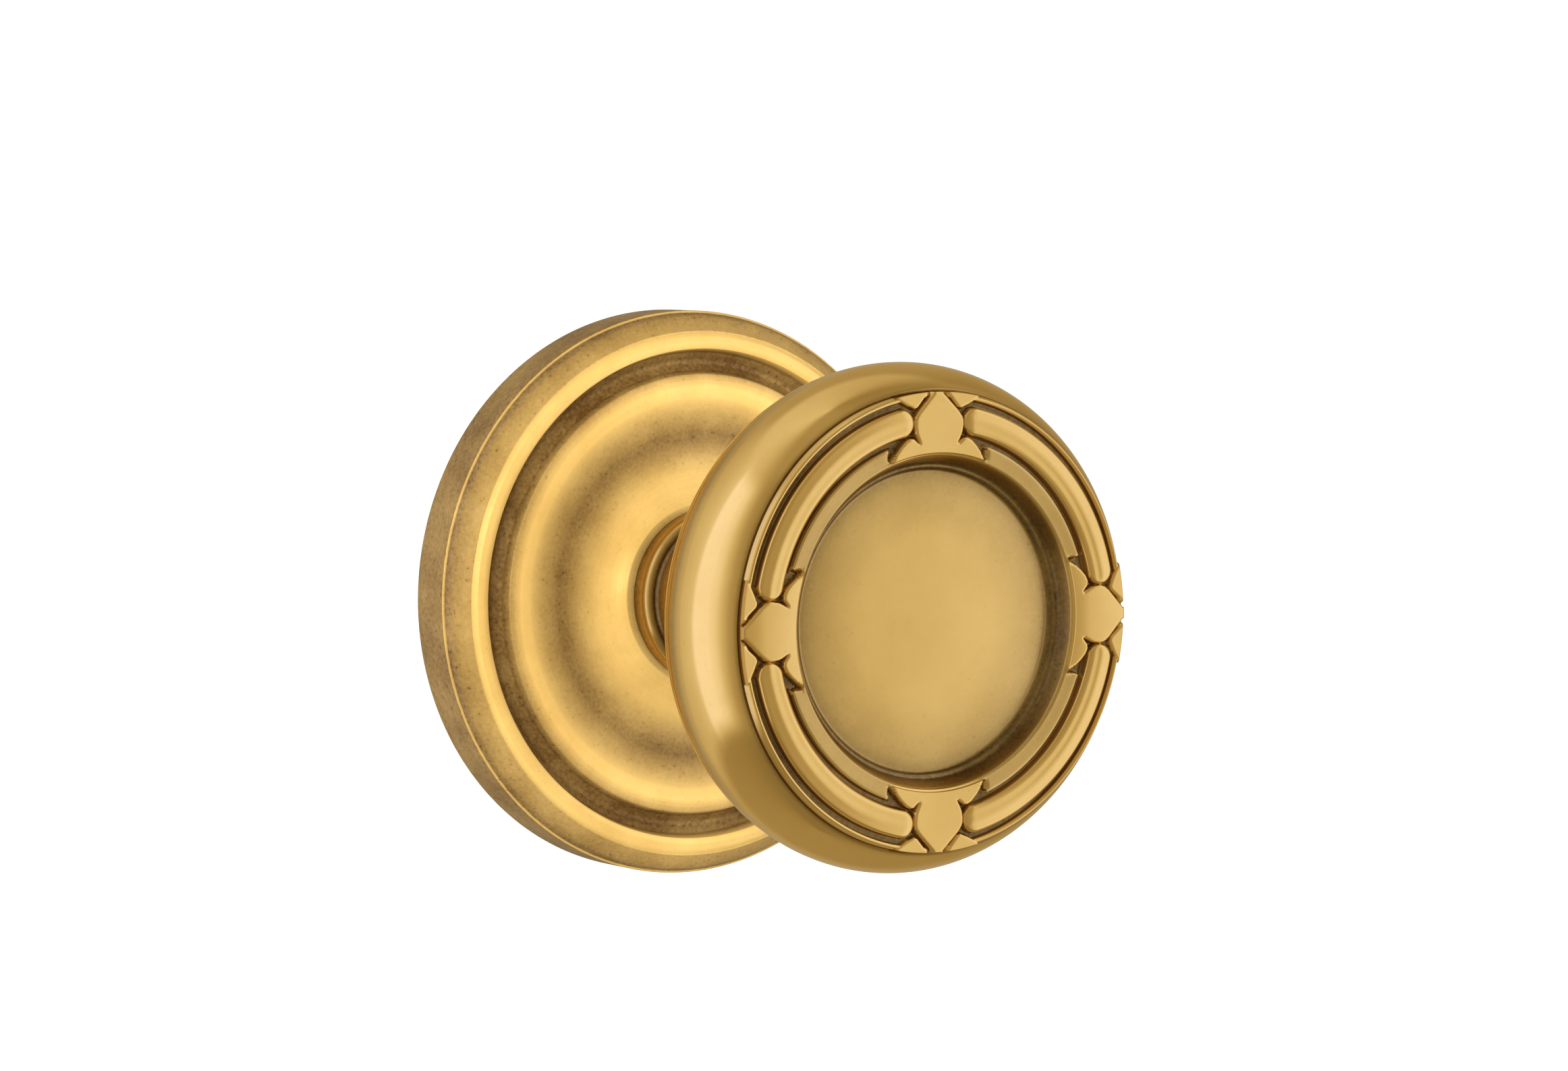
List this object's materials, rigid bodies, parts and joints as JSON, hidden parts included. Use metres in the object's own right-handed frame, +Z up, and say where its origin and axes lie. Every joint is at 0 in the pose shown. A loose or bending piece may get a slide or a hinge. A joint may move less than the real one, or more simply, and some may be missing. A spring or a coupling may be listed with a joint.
{
  "type": "door knob",
  "caption": "Round door knob with an ornamented dished face on a stepped round rose, with spring cassette, through bolts and square spindle.",
  "frame": {"origin": "on the knob's axis, at the door's face", "axes": "+Z up, +Y from the knob into the door, +X to the right of somebody facing the knob"},
  "size_m": [0.0666, 0.1041, 0.0666],
  "materials": {
    "rose_brass": "satin golden brass with brown patina in the grooves",
    "knob_brass": "polished antique brass, lacquered, with brown patina",
    "face_brass": "polished antique brass relief with dark patina in the recesses",
    "zinc_steel": "bright zinc plate",
    "yellow_zinc_steel": "yellow passivated zinc plate",
    "spring_steel": "oiled spring steel",
    "black_steel": "black oxide",
    "cast_zinc": "dull die-cast zinc",
    "bronze": "plain bearing bronze",
    "nylon": "natural nylon"
  },
  "bodies": {
    "rose_assembly": {"rose": "rose_brass", "rose_bushing": "nylon", "rose_set_screw": "black_steel", "mounting_plate": "zinc_steel", "through_bolt_upper": "yellow_zinc_steel", "through_bolt_lower": "yellow_zinc_steel", "bolt_washer_upper": "zinc_steel", "bolt_washer_lower": "zinc_steel", "cassette_housing": "cast_zinc", "cassette_cover": "zinc_steel", "cassette_rivet_right": "zinc_steel", "cassette_rivet_left": "zinc_steel", "return_spring": "spring_steel"},
    "knob": {"knob_shell": "knob_brass", "knob_face": "face_brass", "knob_shank": "knob_brass", "knob_set_screw": "black_steel", "spindle": "zinc_steel", "spring_driver": "spring_steel", "thrust_washer": "bronze", "wave_washer": "spring_steel", "retaining_ring": "black_steel"}
  },
  "joints": [
    {"name": "knob_turn", "type": "hinge", "parent": "rose_assembly", "child": "knob", "pos_m": [0, 0, 0], "axis": [0, -1, 0], "range_deg": [-60, 60], "stiffness_Nm_per_rad": 0.35, "deforming": ["return_spring"]}
  ]
}
